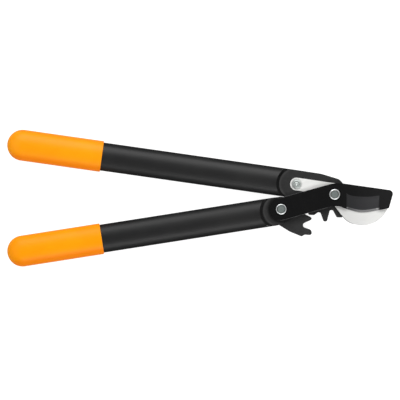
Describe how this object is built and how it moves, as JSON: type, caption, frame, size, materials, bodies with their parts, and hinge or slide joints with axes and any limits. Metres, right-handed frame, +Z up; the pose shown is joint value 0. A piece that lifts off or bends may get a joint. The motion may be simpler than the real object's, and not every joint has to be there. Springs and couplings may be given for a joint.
{
  "type": "geared lopper",
  "caption": "Geared bypass lopper lying flat and shut: coated blade over a curved steel hook, toothed fittings that roll on each other, oval tube handles with soft grips.",
  "frame": {"origin": "on the main pivot's axis, in the plane that the tool lies on, at the flat back face of the main pivot's rivet", "axes": "+X from the handles towards the jaws, +Z up from the plane that the tool lies on, through the hook to the blade's side; +Y towards the handle that holds the hook"},
  "size_m": [0.46, 0.1632, 0.023],
  "materials": {
    "hook_steel": "fine brushed bright steel",
    "coated_blade": "steel with a black low-friction coating, ground face and honed edge",
    "fitting_composite": "matte moulded glass-filled nylon",
    "tube_composite": "satin black tube",
    "grip_rubber": "smooth satin orange elastomer",
    "plug_plastic": "plain moulded",
    "rivet_steel": "matte grey turned steel",
    "ring_steel": "bright turned steel",
    "bush_bronze": "plain bearing bronze"
  },
  "bodies": {
    "hook_side": {"hook": "hook_steel", "upper_gear_fitting": "fitting_composite", "upper_tube": "tube_composite", "upper_grip": "grip_rubber", "upper_end_plug": "plug_plastic", "blade_pivot_rivet": "rivet_steel", "blade_pivot_front_ring": "ring_steel", "blade_pivot_bush": "bush_bronze", "blade_pivot_back_washer": "ring_steel", "hook_rivet": "rivet_steel", "hook_back_washer": "ring_steel"},
    "blade": {"blade": "coated_blade", "handle_pivot_rivet": "rivet_steel", "handle_pivot_front_ring": "ring_steel", "handle_pivot_back_washer": "ring_steel"},
    "geared_handle": {"lower_gear_fitting": "fitting_composite", "lower_tube": "tube_composite", "lower_grip": "grip_rubber", "lower_end_plug": "plug_plastic", "handle_pivot_bush": "bush_bronze"}
  },
  "joints": [
    {"name": "blade_pivot", "type": "hinge", "parent": "hook_side", "child": "blade", "pos_m": [0, 0, 0], "axis": [0, 0, 1], "range_deg": [0, 50]},
    {"name": "handle_pivot", "type": "hinge", "parent": "blade", "child": "geared_handle", "pos_m": [-0.0638, -0.0177, 0], "axis": [0, 0, 1], "range_deg": [0, 45.25]}
  ],
  "couplings": [
    {"joint": "handle_pivot", "follows": "blade_pivot", "ratio": 0.905}
  ]
}
